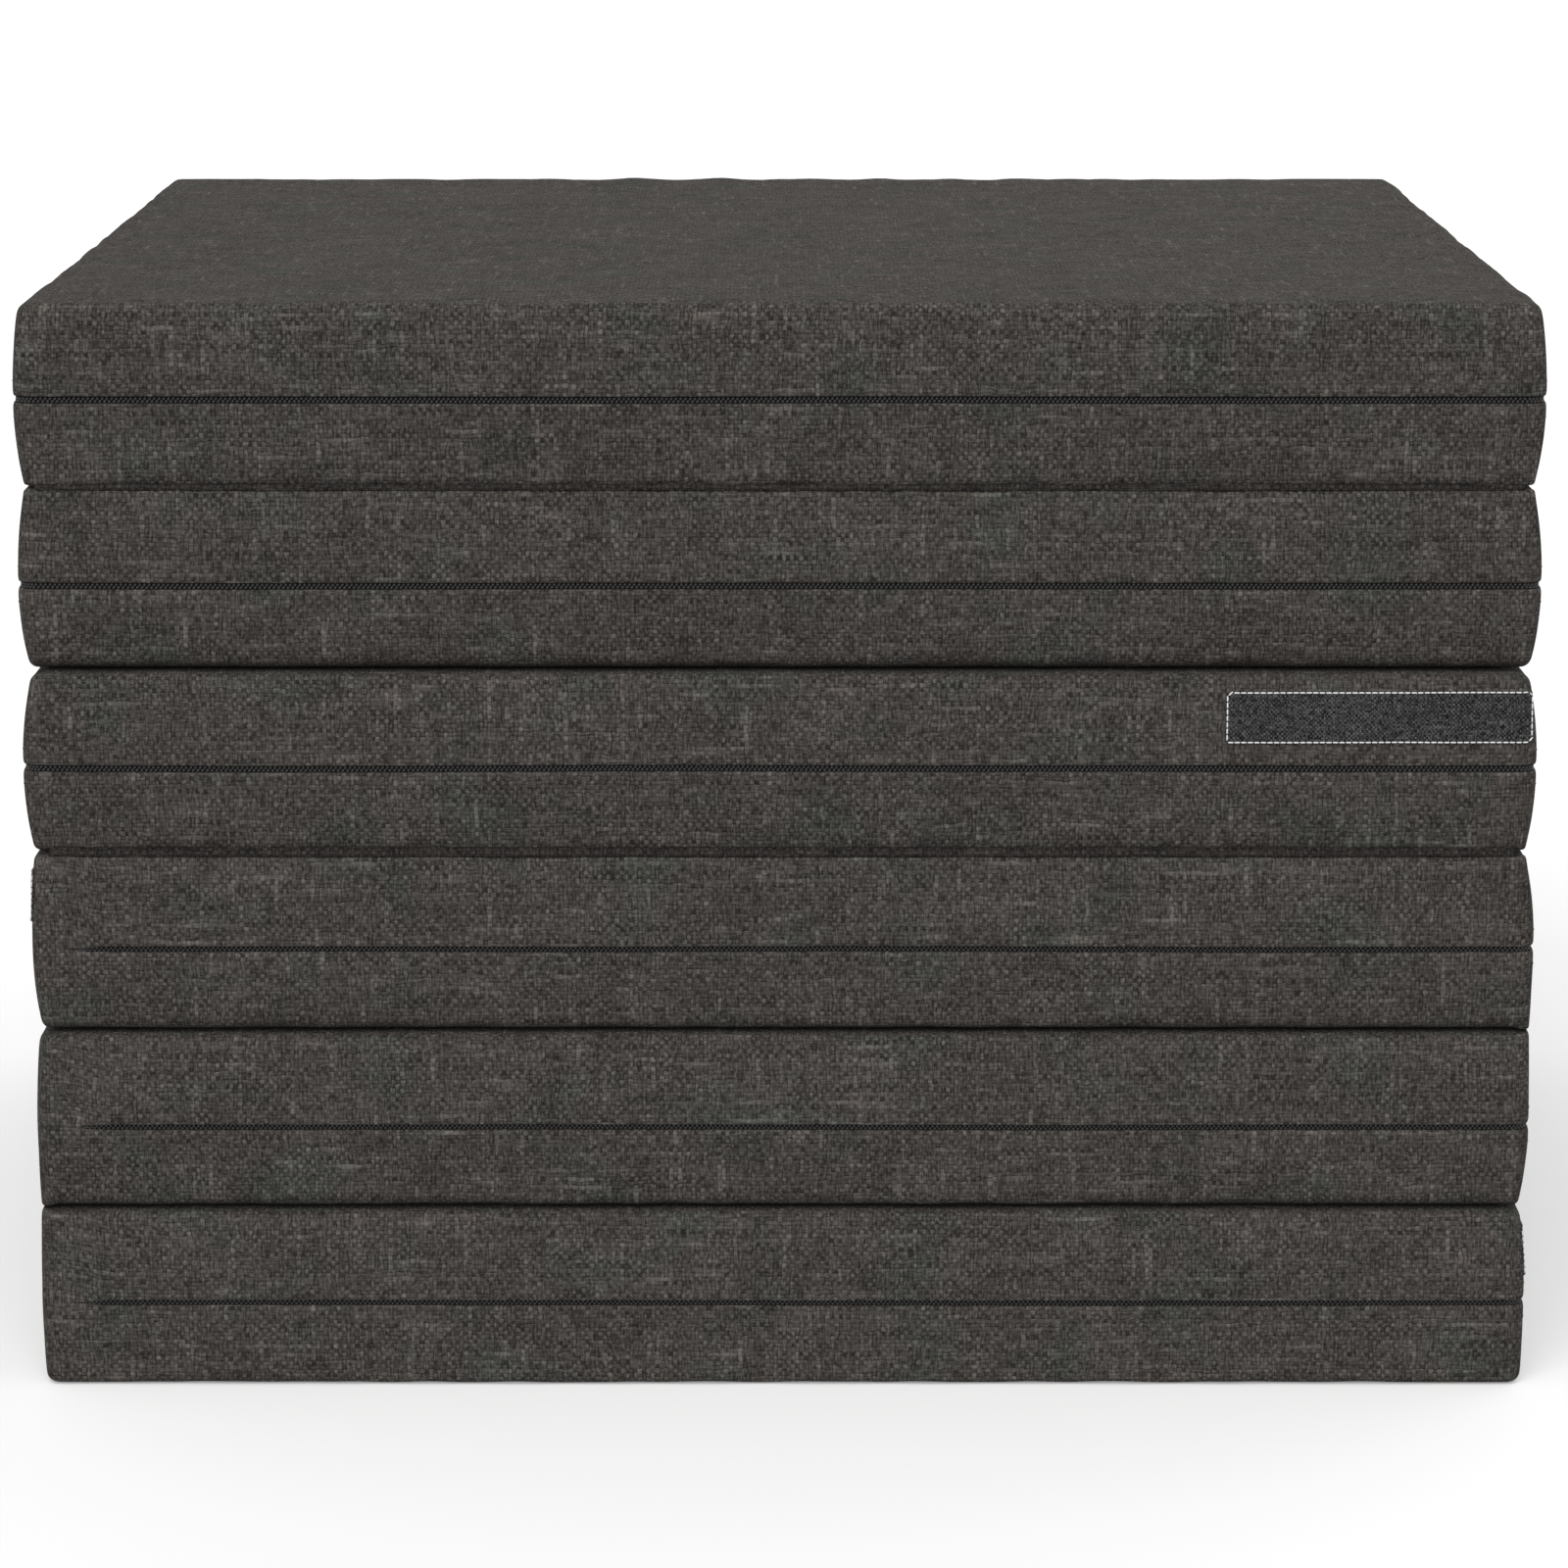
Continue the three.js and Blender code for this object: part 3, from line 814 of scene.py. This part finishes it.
def sewn_label(cover, side, material, thread):
    """A blank woven label that follows the cover, with stitches round its edge."""
    body = f"panel_{cover.number}"
    low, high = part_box(f"{body}_label")
    axis = 0 if side == "front" else 1
    a0, a1, z0, z1 = low[axis], high[axis], low.z, high.z
    normal = np.array(OUTWARD[side])
    radius, stitch_inset, stitch_lift = 1.6 * MM, 0.5 * MM, 0.86 * MM

    def place(a, z, lift):
        """The point at this lift over the cover, and the way that the label faces there."""
        at = {"front": (a, cover.y0), "left": (cover.x0, a), "right": (cover.x1, a)}[side]
        hit, out = cover.touch(at, normal, z)
        out = unit(0.6 * normal + 0.4 * out)
        return hit + out * lift, out

    def rounded(a, z):
        """A grid point, moved in at the label's corners."""
        inner = np.array([np.clip(a, a0 + radius, a1 - radius), np.clip(z, z0 + radius, z1 - radius)])
        d = np.array([a, z]) - inner
        size = np.linalg.norm(d)
        return (a, z) if size == 0 else tuple(inner + d / size * np.abs(d).max())

    edge = np.array([0, 0.8, 1.6]) * MM
    along = np.concatenate([a0 + edge, np.linspace(a0 + 3 * MM, a1 - 3 * MM, 60), a1 - edge[::-1]])
    up = np.concatenate([z0 + edge, np.linspace(z0 + 3 * MM, z1 - 3 * MM, 10), z1 - edge[::-1]])
    na, nz = len(along), len(up)
    points, uvs = [], []
    for top in (False, True):
        for i, a in enumerate(along):
            for j, z in enumerate(up):
                border = i in (0, na - 1) or j in (0, nz - 1)
                ripple = 0.12 * MM * math.sin(a * 300 + z * 170)
                lift = 0.05 * MM
                if top:
                    lift = 0.45 * MM if border else 0.72 * MM + ripple
                points.append(place(*rounded(a, z), lift)[0])
                uvs.append((a, z))

    def index(layer, i, j):
        return (layer * na + i) * nz + j

    faces = []
    for layer in (0, 1):
        for i in range(na - 1):
            for j in range(nz - 1):
                corners = ((i, j), (i + 1, j), (i + 1, j + 1), (i, j + 1))
                faces.append(tuple(index(layer, *corner) for corner in corners))
    border = [(i, 0) for i in range(na)] + [(na - 1, j) for j in range(1, nz)]
    border += [(i, nz - 1) for i in range(na - 2, -1, -1)] + [(0, j) for j in range(nz - 2, 0, -1)]
    for here, there in zip(border, border[1:] + border[:1]):
        faces.append((index(0, *here), index(0, *there), index(1, *there), index(1, *here)))
    label = new_piece(f"{body}_sewn_label", points, faces, material, body, "label", uvs)
    face_out(label)
    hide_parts(f"{body}_label")

    # stitches just inside the edge, across the corners
    r = radius
    path = np.array([(a0 + r, z0), (a1 - r, z0), (a1, z0 + r), (a1, z1 - r),
                     (a1 - r, z1), (a0 + r, z1), (a0, z1 - r), (a0, z0 + r)])
    middle, half = np.array([a0 + a1, z0 + z1]) / 2, np.array([a1 - a0, z1 - z0]) / 2
    path = middle + (path - middle) * (half - stitch_inset) / half
    loop = np.vstack([path, path[:1]])
    travel = np.concatenate([[0], np.cumsum(np.linalg.norm(np.diff(loop, axis=0), axis=1))])

    def on_path(s):
        return place(np.interp(s, travel, loop[:, 0]), np.interp(s, travel, loop[:, 1]), stitch_lift)

    count = round(travel[-1] / LABEL_STITCH_PITCH)
    centres, runs, outs = [], [], []
    for k in range(count):
        s = travel[-1] * k / count
        here, out = on_path(s)
        centres.append(here)
        runs.append(on_path(s + 0.4 * MM)[0] - on_path(s - 0.4 * MM)[0])
        outs.append(out)
    runs, outs = unit(np.array(runs)), np.array(outs)
    across = unit(np.cross(outs, runs))
    points, faces = capsules(np.array(centres), runs, across, outs, LABEL_STITCH_SIZE, 8)
    stitches = new_piece(f"{body}_label_thread", points, faces, thread, body, "thread")
    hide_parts(f"{body}_label_stitches")


# ---------------------------------------------------------------- folds
# The strip's section: height over the joint and depth behind the panels' face, in mm.
GUSSET_SECTION = ((-2.4, 3.8), (-1.3, 2.4), (-0.5, 1.6), (0.0, 1.5), (0.5, 1.6), (1.3, 2.4), (2.4, 3.8))
GUSSET_STEPS, GUSSET_THICK = 200, 0.45 * MM
GUSSET_SHORT = 9 * MM     # how far short of the corners it ends
GUSSET_TAPER, GUSSET_SINK = 15 * MM, 0.5 * MM   # towards its ends it sinks deeper


def find_joint(name):
    return next(joint for joint in frame["joints"] if joint["name"] == name)


def fold_gusset(number, material):
    """The strip of cloth that joins two panels along a fold."""
    cover = COVERS[number]
    out = np.array(OUTWARD[FOLD_SIDE[number]])
    run = np.cross(UP, out)
    low, high = np.array([cover.x0, cover.y0]), np.array([cover.x1, cover.y1])
    middle = np.append((low + high) / 2, find_joint(f"fold_{number}_{number + 1}")["pos_m"][2])
    reach = (high - low) / 2
    half = abs(run[:2] @ reach) - GUSSET_SHORT
    face = middle + out * abs(out[:2] @ reach)
    section = [(0, *place) for place in GUSSET_SECTION]
    section += [(GUSSET_THICK, *place) for place in GUSSET_SECTION[::-1]]
    points, uvs = [], []
    for k in range(GUSSET_STEPS + 1):
        t = half * (2 * k / GUSSET_STEPS - 1)
        sink = GUSSET_SINK * smooth((abs(t) - half + GUSSET_TAPER) / GUSSET_TAPER)
        for layer, dz, deep in section:
            waver = 0.12 * MM * math.sin(t * 260 + dz)
            points.append(face + run * t - out * (deep * MM + sink + layer + waver) + UP * dz * MM)
            uvs.append((t + number * 0.4, dz * MM * 1.2))
    faces = band(stacked(GUSSET_STEPS + 1), len(section)) + ends(GUSSET_STEPS + 1, len(section))
    name = f"fold_{number}_{number + 1}_gusset"
    piece = new_piece(name, points, faces, material, None, "cover_fabric", uvs)
    face_out(piece)
    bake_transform(piece)
    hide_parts(f"fold_seam_{number}_{number + 1}")


# ---------------------------------------------------------------- slider and pull
PIN_HEIGHT, PIN_RADIUS, PIN_HALF = 2.3 * MM, 0.38 * MM, 3.5 * MM   # the pull's pin over the panel's face
LUG_PLACE, LUG_HALF = 2.9 * MM, 0.5 * MM
PULL_HALF = 0.4 * MM
EYE_RADIUS, EYE_HALF = 0.95 * MM, 2.0 * MM


def grown(loop, distance):
    """A closed outline moved outwards by a distance."""
    along = np.roll(loop, -1, 0) - np.roll(loop, 1, 0)
    return loop + unit(np.c_[along[:, 1], -along[:, 0]]) * distance


def plate(loop, low, high, bevel, hole=None):
    """A bevelled plate between two heights. Its points are outline x, outline y and height."""
    smaller = grown(loop, -bevel)
    rings = [(smaller, low), (loop, low + bevel), (loop, high - bevel), (smaller, high)]
    if hole is not None:
        wider = grown(hole, bevel)
        rings += [(wider, high), (hole, high - bevel), (hole, low + bevel), (wider, low)]
    sides = len(loop)
    points = np.concatenate([np.c_[ring, np.full(sides, height)] for ring, height in rings])
    if hole is None:
        return points, band(stacked(len(rings)), sides) + ends(len(rings), sides)
    return points, band(stacked(len(rings)) + [(len(rings) - 1, 0)], sides)


def rounded_loop(x0, x1, half_start, half_end, squareness, count=64):
    """A tapered outline with round corners, from x0 to x1, in mm."""
    turn = np.arange(count) / count * 2 * math.pi
    c, s = np.cos(turn), np.sin(turn)
    x = (x0 + x1) / 2 + (x1 - x0) / 2 * np.sign(c) * np.abs(c) ** (2 / squareness)
    half = half_start + (half_end - half_start) * (x - x0) / (x1 - x0)
    return np.c_[x, half * np.sign(s) * np.abs(s) ** (2 / squareness)] * MM


def rod(radius, half, sides=20):
    """An upright round bar with domed ends, at the pin's place."""
    turn = np.arange(sides) / sides * 2 * math.pi
    dome = ((half, 0.55), (half - 0.12 * MM, 0.9), (half - 0.3 * MM, 1.0))   # height, share of the radius
    profile = [(-height, r) for height, r in dome] + list(dome[::-1])
    points = np.concatenate([
        np.c_[r * radius * np.cos(turn), np.full(sides, height), PIN_HEIGHT + r * radius * np.sin(turn)]
        for height, r in profile
    ])
    return points, band(stacked(len(profile)), sides) + ends(len(profile), sides)


def slider_parts():
    """A shield-shaped plate with a raised middle, and the two lugs that hold the pull's pin."""
    shield = plate(rounded_loop(-5.5, 5.5, 3.8, 2.9, 3.4), 0.3 * MM, 1.15 * MM, 0.25 * MM)
    raised = plate(rounded_loop(-4.6, 4.6, 2.1, 1.7, 3.0), 1.0 * MM, 1.35 * MM, 0.15 * MM)
    parts = [shield, raised, rod(PIN_RADIUS, PIN_HALF)]
    lug, faces = plate(rounded_loop(0.9, 3.05, 1.5, 0.9, 2.6, 40), -LUG_HALF, LUG_HALF, 0.15 * MM)
    for side in (-1, 1):
        parts.append((np.c_[lug[:, 1], lug[:, 2] + side * LUG_PLACE, lug[:, 0]], faces))
    return parts


def pull_parts():
    """A tab with a hole at its end, a neck, and the eye round the pin."""
    low, high = PIN_HEIGHT - PULL_HALF, PIN_HEIGHT + PULL_HALF
    hole = rounded_loop(11.5, 16.6, 1.25, 1.35, 2.4)
    tab = plate(rounded_loop(3.0, 19.0, 2.2, 2.7, 3.0), low, high, 0.2 * MM, hole)
    neck = plate(rounded_loop(0.2, 5.0, 1.5, 1.8, 3.6), low, high, 0.18 * MM)
    return [tab, neck, rod(EYE_RADIUS, EYE_HALF)]


def zip_runner(number, material):
    """The slider and its pull. Their own frame is x along the lying pull, y up and height out of the face."""
    out = np.array(OUTWARD["left" if number >= FIRST_UPPER else "back"])
    along = np.cross(out, UP)
    origin = np.array(find_joint(f"zip_{number}_pull")["pos_m"]) - out * PIN_HEIGHT
    body = f"panel_{number}"
    made = (("slider_body", "slider", slider_parts()), ("pull_tab", "pull", pull_parts()))
    for name, kind, parts in made:
        points, faces = put_together(parts)
        placed = origin + points[:, :1] * along + points[:, 1:2] * UP + points[:, 2:] * out
        piece = new_piece(f"{body}_{name}", placed, faces, material, f"{body}_{kind}", "zip_metal")
        face_out(piece)
        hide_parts(f"{body}_zip_{kind}")


# ---------------------------------------------------------------- materials
# each weave's shading strength paints shade between its threads and a slight highlight on their crowns
WEAVE = dict(cross=0.2, tone=0.75, fibre=1.7, slub=0.42, cloud=0.25, gap=0.3, warp=0.16, run=0.07,
             jitter=0.8, relief=0.2, skew=1.5)
FINE_WEAVE = dict(cross=0.4, tone=0.8, fibre=2.4, slub=0.3, cloud=0.25, gap=0.4, warp=0.3, run=0.09,
                  jitter=0.3, relief=0.2, skew=1.5)
THREAD_WIDTH = 1.9 * MM
LINEN = woven("linen_cover", THREAD_WIDTH, (0.0227, 0.0198, 0.0179), (0.168, 0.1498, 0.1378),
              WEAVE, 0.03, 0.93, (0.9, 1.0, 0.98))
# the fold strips' cloth is darker than the cover's: painted shade of the creases between the panels
SHADED_FOLD_STRIP = woven("fold_strip", THREAD_WIDTH, (0.012, 0.0105, 0.0096), (0.076, 0.068, 0.063),
                   WEAVE, 0.02, 0.93)
LABEL = woven("label_weave", 0.95 * MM, (0.005, 0.005, 0.0052), (0.13, 0.13, 0.1315),
              FINE_WEAVE, 0.03, 0.85)
TAPE = woven("zip_tape_weave", 0.6 * MM, (0.004, 0.004, 0.004), (0.022, 0.022, 0.022),
             FINE_WEAVE, 0.03, 0.85)
COIL = plain("zip_coil_nylon", (0.0165, 0.0165, 0.016), 0.55, 0.2, 2500)
WHITE_THREAD = plain("white_thread", (0.86, 0.86, 0.85), 0.75, 0.08, 5000)
GREY_THREAD = plain("cover_thread", (0.05, 0.046, 0.042), 0.8, 0.2, 5000)
METAL = plain("zip_enamel", (0.06, 0.06, 0.062), 0.36, 0.15, 1500, 0.75, 0.01 * MM)

# ---------------------------------------------------------------- the mattress
camera()
sky()
suns()
white_floor()
COVERS = {number: make_cover(number, LINEN) for number in PANELS}
for each in COVERS.values():
    first, last = zip_tape(each, TAPE)
    zip_coil(each, first, last, COIL)
    topstitch(each, GREY_THREAD)
for number, side in ((4, "front"), (3, "left"), (1, "right")):
    sewn_label(COVERS[number], side, LABEL, WHITE_THREAD)
for number in FOLD_SIDE:
    fold_gusset(number, SHADED_FOLD_STRIP)
for number in PANELS:
    zip_runner(number, METAL)
